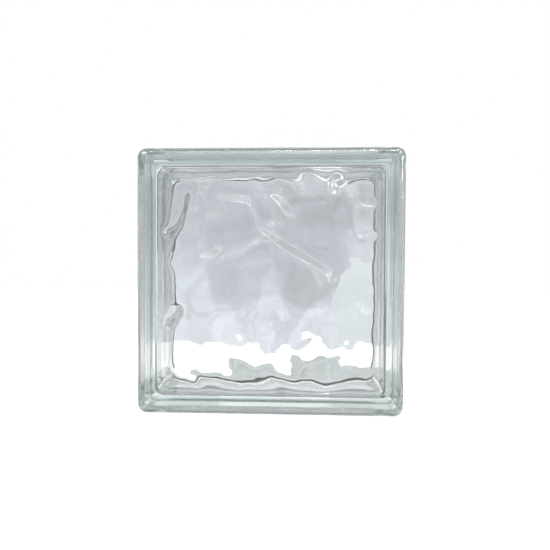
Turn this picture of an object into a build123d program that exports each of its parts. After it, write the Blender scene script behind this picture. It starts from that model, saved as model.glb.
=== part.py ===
"""Hollow pressed-glass wall block, two pressed halves fused into one body.

Frame: millimetres, +Z up, origin at the centre of the base. The block stands on one edge as it
does in a wall: X runs across the face, Y through the thickness, and the two faces look along -Y
and +Y. The near half is modelled once, and the far half is the same pressing turned round.
"""

import os
from math import atan2, cos, degrees, pi, radians, sin, tan

from build123d import *

# Envelope of the block
face_side = 190.0  # width and height of the square face
thickness = 95.0  # from face to face
face_corner_radius = 6.5  # corners of the square, seen from the front

# Edge of one half, from its face to the seam
rim_radius = 3.0  # rounding between the face and the edge flange
flange_depth = 12.0  # full-size edge flange, measured from the face
shoulder_run = 3.0  # slope from the flange down into the mortar channel
channel_depth = 3.5  # how far the channel floor is set back from the flange
seam_height = 2.0  # fused bead, standing proud of the channel floor
seam_width = 6.0  # fused bead, across both halves
seam_rounding = 1.8  # edges of the bead

# Cavity of one half
panel_thickness = 7.5  # glass behind the face, before the clouding
seam_wall = 7.0  # from the channel floor to the cavity, at the seam
draft_angle = 2.0  # taper of the plunger that pressed the cavity
cavity_corner_radius = 7.0  # corners of the cavity, seen from the front, at the panel
panel_fillet = 3.0  # between the cavity's walls and the clouded panel

# Clouding: swells pressed into the inside of each panel, bent off straight by a slow sway
swell_height = 0.7  # a typical crest over the panel's mean level
longest_swell = 60.0  # crest to crest
swell_ratio = 0.82  # length of each swell over the one before
swell_count = 7
first_heading = 32.0  # degrees
heading_step = 144.5  # degrees between one swell's heading and the next
first_phase = 2.86
phase_step = 1.97
sway = 6.5  # how far the swells are bent sideways
sway_length = 108.0
sway_phase = 2.5
calm_start = 40.0  # from the middle; from here the swells die down towards the side walls
calm_end = 75.0
calming = 0.9  # share of their height that is gone at the end
knot_spacing = 2.5  # between the points that carry the clouded surface

face_y = -thickness / 2
panel_y = face_y + panel_thickness
channel_side = face_side - 2 * channel_depth
channel_radius = face_corner_radius - channel_depth


def clouding(x, z):
    """Height of the relief over the panel's mean level, x and z from the panel's centre."""
    swayed_x = x + sway * sin(2 * pi * z / sway_length + sway_phase)
    swayed_z = z + sway * sin(2 * pi * x / sway_length)
    height = 0.0
    length = longest_swell
    for k in range(swell_count):
        heading = radians(first_heading + heading_step * k)
        along = swayed_x * cos(heading) + swayed_z * sin(heading)
        phase = first_phase + phase_step * k * k
        height += length / longest_swell * sin(2 * pi * along / length + phase)
        length *= swell_ratio
    near_wall = min(max((abs(x) - calm_start) / (calm_end - calm_start), 0), 1)
    calm = 1 - calming * near_wall**2 * (3 - 2 * near_wall)
    return calm * swell_height * height / 2


def face_plane(y, towards_face=False):
    """Plane across the block at y, centred on the face, looking inwards or towards the near face."""
    way = -1 if towards_face else 1
    return Plane(origin=(0, y, face_side / 2), x_dir=(way, 0, 0), z_dir=(0, way, 0))


def plate(side, radius, y, depth):
    """Square plate with rounded corners, from y inwards."""
    return extrude(face_plane(y) * RectangleRounded(side, side, radius), amount=depth)


def half_outside():
    """Outside of the near half: face, flange, shoulder, channel and its share of the bead."""
    flange = plate(face_side, face_corner_radius, face_y, flange_depth)
    flange = fillet(flange.faces().sort_by(Axis.Y)[0].edges(), rim_radius)
    shoulder = extrude(
        face_plane(face_y + flange_depth) * RectangleRounded(face_side, face_side, face_corner_radius),
        amount=shoulder_run,
        taper=degrees(atan2(channel_depth, shoulder_run)),
    )
    core = plate(channel_side, channel_radius, face_y + rim_radius, thickness / 2 - rim_radius)
    bead = plate(
        channel_side + 2 * seam_height, channel_radius + seam_height, -seam_width / 2, seam_width
    )
    bead = fillet(bead.edges().group_by(Axis.Y)[0], seam_rounding)
    near_side = Box(2 * face_side, thickness, 3 * face_side, align=(Align.CENTER, Align.MAX, Align.CENTER))
    return flange + shoulder + core + (bead & near_side)


def clouded_panel(slack):
    """Glass between the clouded surface and the near face, wider than the cavity."""
    steps = round(face_side / knot_spacing)
    places = [face_side * (i / steps - 0.5) for i in range(steps + 1)]
    points = [
        [(x, panel_y + clouding(x, z), z + face_side / 2) for z in places] for x in places
    ]
    surface = Face.make_surface_from_array_of_points(points, tol=0.01, min_deg=3, max_deg=5)
    return extrude(surface, amount=panel_thickness + slack, dir=(0, -1, 0))


def half_cavity():
    """What the plunger leaves: a tapered pocket that ends on the clouded panel."""
    slack = swell_height * swell_count / 2
    seam_side = channel_side - 2 * seam_wall
    depth = slack - panel_y
    seam_radius = cavity_corner_radius + depth * tan(radians(draft_angle))
    outline = face_plane(0, towards_face=True) * RectangleRounded(seam_side, seam_side, seam_radius)
    pocket = extrude(outline, amount=depth, taper=draft_angle) - clouded_panel(slack)
    floor_edges = pocket.edges().filter_by(lambda edge: edge.center().Y < panel_y + slack)
    return fillet(floor_edges, panel_fillet)


half = half_outside() - half_cavity()
block = half + Rot(0, 0, 180) * half

os.makedirs("parts", exist_ok=True)
export_step(block, "parts/glass_block.step")
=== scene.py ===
import math

import bpy
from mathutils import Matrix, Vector


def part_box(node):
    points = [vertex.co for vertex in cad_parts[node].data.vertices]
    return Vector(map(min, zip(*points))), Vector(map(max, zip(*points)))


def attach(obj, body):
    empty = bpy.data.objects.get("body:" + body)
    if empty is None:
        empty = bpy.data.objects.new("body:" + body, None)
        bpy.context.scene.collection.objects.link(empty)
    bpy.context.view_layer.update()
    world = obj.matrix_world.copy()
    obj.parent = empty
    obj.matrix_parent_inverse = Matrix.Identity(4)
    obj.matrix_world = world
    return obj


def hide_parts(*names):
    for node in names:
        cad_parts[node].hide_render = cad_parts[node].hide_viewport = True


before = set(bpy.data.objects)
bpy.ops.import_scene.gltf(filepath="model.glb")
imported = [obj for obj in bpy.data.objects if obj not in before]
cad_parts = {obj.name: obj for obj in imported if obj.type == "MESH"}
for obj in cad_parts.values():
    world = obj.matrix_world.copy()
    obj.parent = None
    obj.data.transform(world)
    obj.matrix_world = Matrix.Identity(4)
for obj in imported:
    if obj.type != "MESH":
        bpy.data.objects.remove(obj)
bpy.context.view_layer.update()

# Glass block. Clear soda-lime glass, pressed as two half shells that are fused along a seam while
# the edges are soft, so it is one body with a closed hollow. The outer faces are flat and
# fire-polished; the plunger leaves the clouding on the inside of both.
mm = 0.001
block_low, block_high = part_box("glass_block")
face_side = block_high.x - block_low.x
thickness = block_high.y - block_low.y

block_sizes = {
    "Face Side": face_side,
    "Thickness": thickness,
    "Face Corner Radius": 6.5 * mm,
    "Rim Radius": 3 * mm,
    "Flange Depth": 12 * mm,
    "Shoulder Run": 3 * mm,
    "Edge Easing": 1 * mm,
    "Channel Depth": 3.5 * mm,
    "Seam Height": 2 * mm,
    "Seam Width": 6 * mm,
    "Seam Rounding": 1.8 * mm,
    "Panel Thickness": 7.5 * mm,
    "Seam Wall": 7.0 * mm,
    "Draft Angle": math.radians(2),
    "Cavity Corner Radius": 7 * mm,
    "Panel Fillet": 3 * mm,
    "Swell Height": 0.7 * mm,
    "Longest Swell": 60 * mm,
    "Swell Ratio": 0.82,
    "First Heading": math.radians(32),
    "Heading Step": math.radians(144.5),
    "First Phase": 2.86,
    "Phase Step": 1.97,
    "Sway": 6.5 * mm,
    "Sway Length": 108 * mm,
    "Sway Phase": 2.5,
    "Calm Start": 40 * mm,
    "Calm End": 75 * mm,
    "Calming": 0.9,
    "Unevenness": 0.07 * mm,
    "Unevenness Length": 12 * mm,
    "Ripple Height": 0.2 * mm,
    "Ripple Length": 9 * mm,
    "Ripple Level": -33 * mm,
    "Ripple Half Width": 38 * mm,
    "Ripple Half Height": 17 * mm,
}
swell_count = 7
outer_face_rings = 20
panel_rings = 72
corner_crowding = 1.6
merge_distance = 1e-6
noise_gain = 4  # the noise seldom strays more than a quarter, so this brings it to about one

# Finer ridges across the swells: half-width, rise, and the crest from the panel's centre, in mm
ridges = (
    (4.0, 1.0, ((-35, 64), (-15, 61), (-4, 40), (21, 24), (46, 9))),
    (5.0, 0.4, ((-7, 38), (-33, 29), (-67, 14))),
    (4.0, 1.4, ((-62, 61), (-65, 48), (-68, 40), (-73, 36))),
    (4.0, 1.4, ((-68, -22), (-74, -29))),
    (4.0, 0.5, ((-58, 67), (-57, 67))),
    (4.0, 1.2, ((45, 66), (47, 72))),
    (4.0, 0.5, ((-54, -68), (-50, -74))),
    (3.0, 0.5, ((64, 57), (72, 56))),
    (3.0, 0.5, ((66, 34), (73, 33))),
    (2.8, 0.35, ((37, 18), (39, 17))),
    (2.8, 0.35, ((44, 4), (45, 3))),
    (3.2, 0.5, ((19, -45), (27, -40))),
)


def connect(socket, value):
    """Links a node's output to the socket, or sets the socket to a plain value."""
    value = getattr(value, "socket", value)
    if isinstance(value, bpy.types.NodeSocket):
        socket.id_data.links.new(value, socket)
    else:
        socket.default_value = value


def add_node(tree, kind, inputs=None, **settings):
    """A new node of the tree, with its settings and its inputs by name or by number."""
    node = tree.nodes.new(kind)
    for name, value in settings.items():
        setattr(node, name, value)
    for name, value in (inputs or {}).items():
        connect(node.inputs[name], value)
    return node


class Amount:
    """A number that the tree works out at each point, so that the shape's rules read as sums."""

    def __init__(self, socket):
        self.socket = socket

    def work(self, operation, *others):
        inputs = dict(enumerate((self, *others)))
        node = add_node(self.socket.id_data, "ShaderNodeMath", inputs, operation=operation)
        return Amount(node.outputs[0])

    def __add__(self, other):
        return self.work("ADD", other)

    def __sub__(self, other):
        return self.work("SUBTRACT", other)

    def __mul__(self, other):
        return self.work("MULTIPLY", other)

    def __truediv__(self, other):
        return self.work("DIVIDE", other)

    def __rsub__(self, other):
        return self * -1 + other

    def __rtruediv__(self, other):
        return self.work("POWER", -1) * other

    __radd__ = __add__
    __rmul__ = __mul__

    def size(self):
        return self.work("ABSOLUTE")

    def at_least(self, floor):
        return self.work("MAXIMUM", floor)

    def at_most(self, ceiling):
        return self.work("MINIMUM", ceiling)


def separate(tree, vector):
    """The three parts of a vector socket."""
    return [Amount(part) for part in add_node(tree, "ShaderNodeSeparateXYZ", {0: vector}).outputs]


def combine(tree, *parts):
    """A vector socket with these parts, x first."""
    return add_node(tree, "ShaderNodeCombineXYZ", dict(enumerate(parts))).outputs[0]


def noise(place, scale, detail, dimensions="2D"):
    """Smooth noise about zero at a place, a half up or down at most."""
    inputs = {"Vector": place, "Scale": scale, "Detail": detail}
    node = add_node(place.id_data, "ShaderNodeTexNoise", inputs, noise_dimensions=dimensions)
    return Amount(node.outputs[0]) - 0.5


def bell(*offs):
    """One in the middle, fading where the offsets, in half-widths, grow past one."""
    squares = offs[0] * offs[0] * -1
    for off in offs[1:]:
        squares = squares - off * off
    return squares.work("EXPONENT")


def choose(tree, index, kind, values):
    """The value in the list that belongs to the point's index."""
    node = add_node(tree, "GeometryNodeIndexSwitch", data_type=kind)
    while len(node.index_switch_items) < len(values):
        node.index_switch_items.new()
    connect(node.inputs[0], index)
    for socket, value in zip(list(node.inputs)[1:], values):
        connect(socket, value)
    return node.outputs[0]


def off_crest(x, z, crest):
    """Distance of a point of the panel from the nearest run of a ridge's crest."""
    nearest = None
    for start, end in zip(crest, crest[1:]):
        run_x, run_z = (end[0] - start[0]) * mm, (end[1] - start[1]) * mm
        from_x, from_z = x - start[0] * mm, z - start[1] * mm
        share = (from_x * run_x + from_z * run_z) / (run_x * run_x + run_z * run_z)
        share = share.at_least(0).at_most(1)
        off_x, off_z = from_x - share * run_x, from_z - share * run_z
        off = (off_x * off_x + off_z * off_z).work("SQRT")
        nearest = off if nearest is None else nearest.at_most(off)
    return nearest


def clouding(x, z, size):
    """Height of the relief over the panel's mean level, x and z from the panel's centre."""
    turn = 2 * math.pi
    swayed_x = x + size["Sway"] * (z * turn / size["Sway Length"] + size["Sway Phase"]).work("SINE")
    swayed_z = z + size["Sway"] * (x * turn / size["Sway Length"]).work("SINE")
    length = size["Longest Swell"]
    swells = []
    for k in range(swell_count):
        heading = size["First Heading"] + size["Heading Step"] * k
        along = swayed_x * heading.work("COSINE") + swayed_z * heading.work("SINE")
        phase = size["First Phase"] + size["Phase Step"] * (k * k)
        swells.append(length / size["Longest Swell"] * (along * turn / length + phase).work("SINE"))
        length = length * size["Swell Ratio"]
    near_wall = (x.size() - size["Calm Start"]) / (size["Calm End"] - size["Calm Start"])
    near_wall = near_wall.at_least(0).at_most(1)
    calm = 1 - size["Calming"] * near_wall * near_wall * (3 - 2 * near_wall)
    height = calm * size["Swell Height"] / 2 * sum(swells[1:], swells[0])
    place = combine(x.socket.id_data, x, z)
    uneven = noise(place, 1 / size["Unevenness Length"], 1.0)
    height = height + uneven * noise_gain * size["Unevenness"]
    ripple = noise(place, 1 / size["Ripple Length"], 1.0)
    over_ripples = (z - size["Ripple Level"]) / size["Ripple Half Height"]
    fading = bell(x / size["Ripple Half Width"], over_ripples)
    height = height + ripple * fading * noise_gain * size["Ripple Height"]
    for half_width, rise, crest in ridges:
        off = off_crest(x, z, crest) / (half_width * mm)
        height = height + rise * mm * bell(off)
    return height


def section_curve(tree, corners):
    """The section as a curve with its corners rounded: inset and level, rounding, points on the arc."""
    line = add_node(tree, "GeometryNodeMeshLine", {"Count": len(corners)})
    index = add_node(tree, "GeometryNodeInputIndex").outputs[0]
    places = [combine(tree, inset, 0.0, level) for inset, level, rounding, arc_points in corners]
    place = choose(tree, index, "VECTOR", places)
    bent = add_node(tree, "GeometryNodeSetPosition", {"Geometry": line.outputs[0], "Position": place})
    curve = add_node(tree, "GeometryNodeMeshToCurve", {"Mesh": bent.outputs[0]})
    rounding = choose(tree, index, "FLOAT", [corner[2] for corner in corners])
    arc_points = choose(tree, index, "INT", [corner[3] for corner in corners])
    inputs = {"Curve": curve.outputs[0], "Count": arc_points, "Radius": rounding}
    return add_node(tree, "GeometryNodeFilletCurve", inputs, mode="POLY").outputs[0]


def pressed_skin(tree, corners, half_side, corner_radius, flat_rings, crowding, relief=None):
    """Square skin with rounded corners whose rings follow the section, and then cross the flat."""
    section = section_curve(tree, corners)
    points = add_node(tree, "GeometryNodeAttributeDomainSize", {0: section}, component="CURVE")
    last = Amount(points.outputs["Point Count"]) - 1
    rings = last + flat_rings
    side_points = rings * 2 + 1
    sizes = {"Size X": 2, "Size Y": 2, "Vertices X": side_points, "Vertices Y": side_points}
    grid = add_node(tree, "GeometryNodeMeshGrid", sizes).outputs[0]
    position = add_node(tree, "GeometryNodeInputPosition").outputs[0]
    across, up, _ = separate(tree, position)
    reach = across.size().at_least(up.size())
    ring = ((1 - reach) * rings).work("ROUND")
    inputs = {"Geometry": section, "Value": position, "Index": ring.at_most(last)}
    sample = add_node(tree, "GeometryNodeSampleIndex", inputs, data_type="FLOAT_VECTOR", clamp=True)
    section_inset, _, level = separate(tree, sample.outputs[0])
    inward = (ring - last).at_least(0) / flat_rings
    inset = section_inset + (half_side - section_inset) * inward
    half = half_side - inset
    radius = corner_radius(inset).at_least(0)
    ways, overs = [], []
    for way in (across, up):
        way = way / reach
        spread = (1 - (1 - way.size()).at_least(0).work("POWER", crowding)) * half
        ways.append(way.work("SIGN"))
        overs.append((spread, spread - (half - radius)))
    in_corner = overs[0][1].at_most(overs[1][1]).work("GREATER_THAN", 0)
    span = (overs[0][1] * overs[0][1] + overs[1][1] * overs[1][1]).work("SQRT")
    x, z = (
        way * (spread + in_corner * (over * radius / span - over))
        for way, (spread, over) in zip(ways, overs)
    )
    if relief:
        level = relief(x, z, level)
    inputs = {"Geometry": grid, "Position": combine(tree, x, z, level)}
    return add_node(tree, "GeometryNodeSetPosition", inputs).outputs[0]


def join(tree, *geometries):
    """All the geometries as one."""
    node = add_node(tree, "GeometryNodeJoinGeometry")
    for geometry in geometries:
        connect(node.inputs[0], geometry)
    return node.outputs[0]


def block_tree():
    """Node tree of the block: the near half, and the same pressing turned round."""
    tree = bpy.data.node_groups.new("glass_block_pressing", "GeometryNodeTree")
    tree.interface.new_socket("Geometry", in_out="INPUT", socket_type="NodeSocketGeometry")
    tree.interface.new_socket("Geometry", in_out="OUTPUT", socket_type="NodeSocketGeometry")
    for name in block_sizes:
        tree.interface.new_socket(name, in_out="INPUT", socket_type="NodeSocketFloat")
    tree.interface.new_socket("Material", in_out="INPUT", socket_type="NodeSocketMaterial")
    given = add_node(tree, "NodeGroupInput")
    size = {name: Amount(given.outputs[name]) for name in block_sizes}
    half_side = size["Face Side"] / 2
    face = size["Thickness"] / 2
    channel = size["Channel Depth"]
    bead = size["Seam Width"] / 2
    rim = size["Rim Radius"]
    easing = size["Edge Easing"]
    flange = face - size["Flange Depth"]
    shoulder = flange - size["Shoulder Run"]
    outside = pressed_skin(
        tree,
        (
            (channel - size["Seam Height"], 0.0, 0.0, 1),
            (channel - size["Seam Height"], bead, size["Seam Rounding"], 7),
            (channel, bead, easing / 4, 2),
            (channel, shoulder, easing, 4),
            (0.0, flange, easing, 4),
            (0.0, face, rim, 12),
            # One more ring just past the rounding keeps the flat face's shading flat
            (rim * 1.2, face, 0.0, 1),
        ),
        half_side,
        lambda inset: size["Face Corner Radius"] - inset,
        outer_face_rings,
        corner_crowding,
    )
    panel = face - size["Panel Thickness"]
    fillet = size["Panel Fillet"]
    seam_inset = channel + size["Seam Wall"]
    panel_inset = seam_inset + panel * size["Draft Angle"].work("TANGENT")

    def clouded(x, z, level):
        share = ((level - panel + fillet) / fillet).at_least(0)
        return level - share * clouding(x, z, size)

    cavity = pressed_skin(
        tree,
        (
            (seam_inset, 0.0, 0.0, 1),
            (panel_inset, panel, fillet, 10),
            (panel_inset + fillet * 2, panel, 0.0, 1),
        ),
        half_side,
        lambda inset: size["Cavity Corner Radius"] + panel_inset - inset,
        panel_rings,
        1.0,
        clouded,
    )
    cavity = add_node(tree, "GeometryNodeFlipFaces", {0: cavity}).outputs[0]
    near_half = join(tree, outside, cavity)
    turned = {"Geometry": near_half, "Rotation": (0, math.pi, 0)}
    far_half = add_node(tree, "GeometryNodeTransform", turned).outputs[0]
    halves = {"Geometry": join(tree, near_half, far_half), "Distance": merge_distance}
    fused = add_node(tree, "GeometryNodeMergeByDistance", halves).outputs[0]
    shading = {"Geometry": fused, "Shade Smooth": True}
    smooth = add_node(tree, "GeometryNodeSetShadeSmooth", shading).outputs[0]
    standing = {
        "Geometry": smooth,
        "Translation": combine(tree, 0.0, 0.0, half_side),
        "Rotation": (math.pi / 2, 0, 0),
    }
    stood = add_node(tree, "GeometryNodeTransform", standing).outputs[0]
    whole = add_node(tree, "GeometryNodeRealizeInstances", {0: stood}).outputs[0]
    glass = {"Geometry": whole, "Material": given.outputs["Material"]}
    finished = add_node(tree, "GeometryNodeSetMaterial", glass).outputs[0]
    connect(add_node(tree, "NodeGroupOutput").inputs[0], finished)
    return tree


def made_mesh(name, tree, values):
    """Plain mesh of what the tree makes with these values."""
    blank = bpy.data.objects.new(name, bpy.data.meshes.new(name + "_blank"))
    bpy.context.scene.collection.objects.link(blank)
    modifier = blank.modifiers.new(name, "NODES")
    modifier.node_group = tree
    sockets = {
        item.name: item.identifier for item in tree.interface.items_tree if item.in_out == "INPUT"
    }
    for value_name, value in values.items():
        modifier[sockets[value_name]] = value
    evaluated = blank.evaluated_get(bpy.context.evaluated_depsgraph_get())
    mesh = bpy.data.meshes.new_from_object(evaluated)
    bpy.data.objects.remove(blank)
    mesh.name = name
    return mesh


def clear_glass():
    """Clear pressed glass: polished faces, and an edge left duller by the mould."""
    material = bpy.data.materials.new("clear_glass")
    material.use_nodes = True
    tree = material.node_tree
    shader = tree.nodes["Principled BSDF"]
    connect(shader.inputs["Base Color"], (1, 1, 1, 1))
    connect(shader.inputs["Transmission Weight"], 1)
    connect(shader.inputs["IOR"], 1.52)
    place = add_node(tree, "ShaderNodeTexCoord").outputs["Object"]
    x, y, z = separate(tree, place)
    outwards = x.size().at_least((z - face_side / 2).size())
    polished_depth = 1.5 * mm
    mould_inset = 7 * mm
    mould_roughness = 0.22
    outer = outwards.work("GREATER_THAN", face_side / 2 - mould_inset)
    behind_face = y.size().work("LESS_THAN", thickness / 2 - polished_depth)
    connect(shader.inputs["Roughness"], outer * behind_face * mould_roughness)
    tint = {"Color": (0.73, 0.85, 0.79, 1), "Density": 7}
    absorbed = add_node(tree, "ShaderNodeVolumeAbsorption", tint)
    connect(tree.nodes["Material Output"].inputs["Volume"], absorbed.outputs[0])
    return material


block_values = dict(block_sizes, Material=clear_glass())
block_mesh = made_mesh("pressed_glass_block", block_tree(), block_values)
block = bpy.data.objects.new("pressed_glass_block", block_mesh)
bpy.context.scene.collection.objects.link(block)
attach(block, "root")
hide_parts("glass_block")


# Floor. A plain pale sheet that the block stands on. The camera sees it white. Rays that come
# through the glass see it darker, with two glowing strips that keep the glass's lower edge light.
floor_reach = 3.0
paper_grey = 0.8
grey_loss = 0.56
white_lift = 0.62
glow_lift = 0.75
glow_half = 0.016
glow_strips = ((0.034, 1.0), (-0.032, 0.35))  # middle behind the block's own, and strength


def flat_sheet(name, corners, material):
    """A sheet of the stage with these corners."""
    mesh = bpy.data.meshes.new(name)
    mesh.from_pydata(corners, [], [tuple(range(len(corners)))])
    mesh.materials.append(material)
    sheet = bpy.data.objects.new(name, mesh)
    bpy.context.scene.collection.objects.link(sheet)
    return sheet


def lying(left, right, near, far, height):
    """Corners of a level sheet."""
    return [(left, near, height), (right, near, height), (right, far, height), (left, far, height)]


def floor_paper():
    """Pale matt paper: lifted to white for the camera, and darker through the glass."""
    material = bpy.data.materials.new("floor_paper")
    material.use_nodes = True
    tree = material.node_tree
    shader = tree.nodes["Principled BSDF"]
    connect(shader.inputs["Roughness"], 0.9)
    connect(shader.inputs["Emission Color"], (1, 1, 1, 1))
    rays = add_node(tree, "ShaderNodeLightPath").outputs
    seen, through = Amount(rays["Is Camera Ray"]), Amount(rays["Is Transmission Ray"])
    grey = paper_grey - through * grey_loss
    connect(shader.inputs["Base Color"], combine(tree, grey, grey, grey))
    place = add_node(tree, "ShaderNodeTexCoord").outputs["Object"]
    x, y, _ = separate(tree, place)
    strips = [
        (y - middle).size().work("LESS_THAN", glow_half) * strength
        for middle, strength in glow_strips
    ]
    glow = sum(strips[1:], strips[0]) * x.size().work("LESS_THAN", face_side / 2)
    connect(shader.inputs["Emission Strength"], seen * white_lift + through * glow * glow_lift)
    return material


flat_sheet("floor", lying(-floor_reach, floor_reach, -floor_reach, floor_reach, 0), floor_paper())


# Surroundings. A mottled grey backdrop over a white strip, a pale table, and dark, grey and bright
# cards and soft lights round them. Only glass shows them; the camera sees plain white instead.
def card(name, corners, colour):
    """A glowing card of one colour, or of the colour that a rule gives at each place on it."""
    material = bpy.data.materials.new(name)
    material.use_nodes = True
    tree = material.node_tree
    tree.nodes.remove(tree.nodes["Principled BSDF"])
    if callable(colour):
        place = add_node(tree, "ShaderNodeTexCoord").outputs["Object"]
        colour = colour(tree, *separate(tree, place))
    glow = add_node(tree, "ShaderNodeEmission", {"Color": colour})
    connect(tree.nodes["Material Output"].inputs["Surface"], glow.outputs[0])
    sheet = flat_sheet(name, corners, material)
    sheet.visible_camera = False
    sheet.visible_diffuse = False
    sheet.visible_shadow = False
    return sheet


def upright(left, right, foot, top, depth):
    """Corners of an upright card that faces the block."""
    return [(left, depth, foot), (right, depth, foot), (right, depth, top), (left, depth, top)]


def sideways(x, near, far, top):
    """Corners of an upright card at the block's side."""
    return [(x, near, 0), (x, far, 0), (x, far, top), (x, near, top)]


def srgb(*levels):
    """Linear colour of sRGB levels from 0 to 255."""
    return (*(((level / 255 + 0.055) / 1.055) ** 2.4 for level in levels), 1)


def lit(tree, colour, light):
    """The colour made lighter or darker."""
    inputs = {0: colour, "Scale": light}
    return add_node(tree, "ShaderNodeVectorMath", inputs, operation="SCALE").outputs[0]


def mottled_grey(tree, x, y, z):
    """Pale grey that darkens upwards in soft steps, mottled, with lighter and darker patches."""
    ramp = add_node(tree, "ShaderNodeValToRGB", {0: z / backdrop_top})
    steps = ramp.color_ramp.elements
    for height, level in backdrop_shades:
        step = steps.new(height / backdrop_top)
        step.color = srgb(level, level + 5, level + 12)
    # The ramp's own two ends
    steps.remove(steps[-1])
    steps.remove(steps[0])
    place = combine(tree, x, z)
    licks = noise(place, licks_per_metre, 2.0) * bell((z - licks_height) / licks_reach)
    light = 1 + noise(place, mottles_per_metre, 3.0) * mottle_gain + licks * licks_gain
    for middle_x, middle_z, half_width, half_height, gain in backdrop_patches:
        off_x, off_z = (x - middle_x) / half_width, (z - middle_z) / half_height
        light = light + bell(off_x, off_z) * gain
    return lit(tree, ramp.outputs[0], light)


def streaked_table(tree, *place):
    """The table's pale grey with soft streaks."""
    streaks = noise(combine(tree, *place), streaks_per_metre, 2.0, "3D")
    return lit(tree, table_tone[:3], 1 + streaks * streak_gain)


def fading_light(middle, reach, strength, around):
    """Rule for a soft light's card: white that fades from its middle into the level around."""
    def rule(tree, *place):
        offs = [(along - centre) / reach for along, centre in zip(place, middle)]
        light = bell(*offs) * strength + around
        return combine(tree, light, light, light)
    return rule


# Backdrop, in metres from the middle of the block's base
card_depth = 0.187
card_gap = 0.0005  # between cards that lie in front of each other
backdrop_left = -0.142
backdrop_right = 0.17
backdrop_top = 0.25
backdrop_shades = (  # height, and red level of the grey
    (0.028, 233),
    (0.045, 232),
    (0.050, 228),
    (0.062, 226),
    (0.066, 220),
    (0.080, 209),
    (0.100, 197),
    (0.130, 195),
    (0.165, 189),
    (0.188, 190),
    (0.200, 208),
)
backdrop_patches = (  # middle across and up, half-width, half-height, and gain
    (-0.095, 0.100, 0.040, 0.022, 0.20),
    (0.040, 0.080, 0.024, 0.016, -0.12),
    (0.060, 0.165, 0.045, 0.030, -0.13),
    (-0.125, 0.110, 0.025, 0.080, 0.18),
    (0.115, 0.122, 0.040, 0.026, 0.32),
)
mottles_per_metre = 30.0
mottle_gain = 0.5
licks_per_metre = 75.0
licks_gain = 0.5
licks_height = 0.058
licks_reach = 0.02
light_left = 0.062
light_top = 0.112
strip_top = 0.028
strip_middle_half = 0.055
dark_top = 0.31
side_top = 0.8
side_reach = 0.63
grey_left = (-0.33, -0.18)
dark_level = 0.08
dark_side = (dark_level, 0.09, 0.09, 1)
mid_grey = (0.8, 0.82, 0.81, 1)
light_grey = (1.0, 1.02, 1.01, 1)
light_tone = srgb(229, 235, 240)
white_strip = (1.15, 1.15, 1.15, 1)
white_middle = (1.7, 1.7, 1.7, 1)
card(
    "backdrop",
    upright(backdrop_left, backdrop_right, strip_top, backdrop_top, card_depth),
    mottled_grey,
)
card(
    "backdrop_light",
    upright(light_left, backdrop_right, strip_top, light_top, card_depth - 2 * card_gap),
    light_tone,
)
card(
    "backdrop_strip",
    upright(backdrop_left, backdrop_right, 0, strip_top, card_depth),
    white_strip,
)
card(
    "strip_middle",
    upright(-strip_middle_half, strip_middle_half, 0, strip_top, card_depth - card_gap),
    white_middle,
)
card(
    "dark_top",
    upright(backdrop_left, backdrop_right, backdrop_top, dark_top, card_depth),
    dark_side,
)
card(
    "grey_above",
    upright(backdrop_left, backdrop_right, dark_top, side_top, card_depth),
    light_grey,
)
card("dark_left", upright(-side_reach, backdrop_left, 0, side_top, card_depth), dark_side)
card("grey_left", upright(*grey_left, 0, side_top, card_depth - card_gap), mid_grey)
card("dark_right", upright(backdrop_right, side_reach, 0, side_top, card_depth), dark_side)

# Table, cut off at its far left, where a white sheet shows, and a dark strip behind the block that is
# its painted shadow
table_reach = 0.3
table_near = 0.069
table_low = 0.0005
white_low = 0.0004
shade_near = 0.049
foot_top = 0.005
streaks_per_metre = 55.0
streak_gain = 0.9
table_tone = srgb(206, 212, 213)
foot_outline = ((-0.04, 0), (backdrop_right, 0), (backdrop_right, foot_top), (0, foot_top))
card(
    "backdrop_foot",
    [(x, card_depth - 2 * card_gap, z) for x, z in foot_outline],
    streaked_table,
)
table_outline = (
    (-table_reach, table_near),
    (table_reach, table_near),
    (table_reach, card_depth),
    (-0.04, card_depth),
    (-0.07, 0.15),
    (-0.1, 0.12),
    (-table_reach, 0.1),
)
card("table", [(x, y, table_low) for x, y in table_outline], streaked_table)
card("strip_foot", lying(-table_reach, -0.02, 0.1, card_depth, white_low), white_strip)
# Painted shadow: a dark strip on the table just behind the block's foot, where its contact shadow would
# fall
card("foot_shade", lying(-table_reach, table_reach, shade_near, table_near, table_low), dark_side)

# Ceiling, left side, a dark patch, and soft lights over the backdrop and in front of the block
ceiling_half = 0.35
ceiling_near = -0.3
ceiling_height = 0.6
side_place = -0.5
bright_near = -0.13
dark_left_high = (-0.26, -0.172, 0.12, 0.26)  # left, right, foot and top
light_above = (-0.01, 0.11, 0.252, 0.36)
front_depth = -0.75
soft_strength = 4
around_front = 0.72
bright_side = (1.7, 1.72, 1.73, 1)
card(
    "ceiling",
    lying(-ceiling_half, ceiling_half, ceiling_near, card_depth, ceiling_height),
    (0.3, 0.31, 0.31, 1),
)
card("bright_left", sideways(side_place, bright_near, 0, ceiling_height), bright_side)
card("dim_left", sideways(side_place, 0, card_depth, ceiling_height), dark_side)
card("dark_left_high", upright(*dark_left_high, card_depth - 2 * card_gap), dark_side)
card(
    "small_light_above",
    upright(*light_above, card_depth - 2 * card_gap),
    fading_light((0.05, card_depth, 0.3), 0.02, soft_strength, dark_level),
)
for side, across, up, reach in (("left", -0.2, 0.45, 0.08), ("right", 0.34, 0.32, 0.1)):
    card(
        "soft_lamp_" + side,
        upright(across - 2 * reach, across + 2 * reach, up - 2 * reach, up + 2 * reach, front_depth),
        fading_light((across, front_depth, up), reach, soft_strength, around_front),
    )


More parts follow.
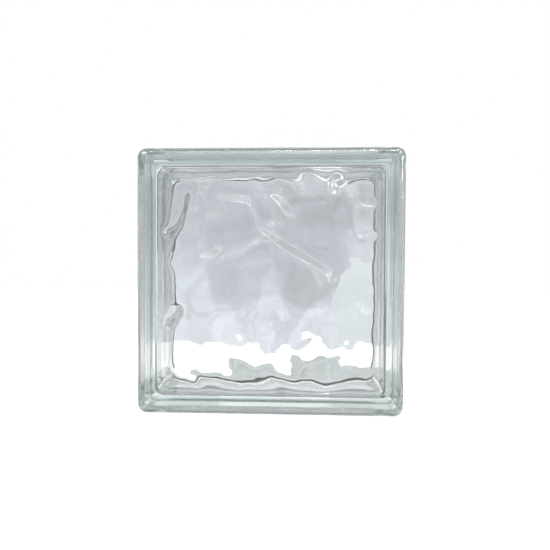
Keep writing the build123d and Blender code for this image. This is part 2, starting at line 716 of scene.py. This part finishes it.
# Light. White beyond the stage for the camera, an even grey for all other rays, a large soft lamp
# high on the left, and three small ones that put glints on the relief and leave the floor alone.
world = bpy.data.worlds.new("studio")
bpy.context.scene.world = world
world.use_nodes = True
sky = world.node_tree
surround = add_node(sky, "ShaderNodeBackground", {"Color": (0.71, 0.73, 0.74, 1)})
seen_white = add_node(sky, "ShaderNodeBackground", {"Color": (1, 1, 1, 1)})
camera_ray = add_node(sky, "ShaderNodeLightPath").outputs["Is Camera Ray"]
skies = {0: camera_ray, 1: surround.outputs[0], 2: seen_white.outputs[0]}
sky_mix = add_node(sky, "ShaderNodeMixShader", skies)
connect(sky.nodes["World Output"].inputs["Surface"], sky_mix.outputs[0])


def lamp(name, place, width, height, power):
    """A rectangular lamp that faces the block."""
    light = bpy.data.lights.new(name, "AREA")
    light.shape = "RECTANGLE"
    light.size = width
    light.size_y = height
    light.energy = power
    holder = bpy.data.objects.new(name, light)
    bpy.context.scene.collection.objects.link(holder)
    holder.location = place
    aim = Vector((0, 0, face_side / 2)) - Vector(place)
    holder.rotation_euler = aim.to_track_quat("-Z", "Y").to_euler()
    return holder


lamp("key_lamp", (-0.7, -0.5, 1.1), 0.5, 0.5, 1.2)
for name, place, width, height, power in (
    ("glint_lamp_left", (-0.25, front_depth, 0.45), 0.16, 0.03, 9),
    ("glint_lamp_top", (0.13, front_depth, 0.45), 0.3, 0.03, 4),
    ("glint_lamp_right", (0.38, front_depth, 0.28), 0.06, 0.12, 6),
):
    lamp(name, place, width, height, power).visible_diffuse = False

scene = bpy.context.scene
scene.view_settings.view_transform = "Standard"
glass_bounces = 32  # rays cross many surfaces in the hollow block
scene.cycles.max_bounces = glass_bounces
scene.cycles.transmission_bounces = glass_bounces
scene.cycles.glossy_bounces = glass_bounces

# Camera. Half a metre in front of the face, a little right of and above its middle, and turned
# slightly left and down, so that the block comes out as square as in the photograph.
camera_distance = 0.5
camera_right = 0.0151
camera_above = 0.0086
camera_depth = -thickness / 2 - camera_distance
camera_place = Vector((camera_right, camera_depth, face_side / 2 + camera_above))
yaw, pitch, roll = math.radians(3.48), math.radians(1.91), math.radians(0.27)
lens = bpy.data.cameras.new("camera")
lens.sensor_width = 36
lens.lens = 46.19
lens.shift_x = 0.0493
lens.shift_y = 0.0329
camera = bpy.data.objects.new("camera", lens)
scene.collection.objects.link(camera)
camera.location = camera_place
look = Vector((-math.sin(yaw) * math.cos(pitch), math.cos(yaw) * math.cos(pitch), -math.sin(pitch)))
camera.rotation_euler = look.to_track_quat("-Z", "Y").to_euler()
camera.rotation_euler.rotate_axis("Z", roll)
scene.camera = camera
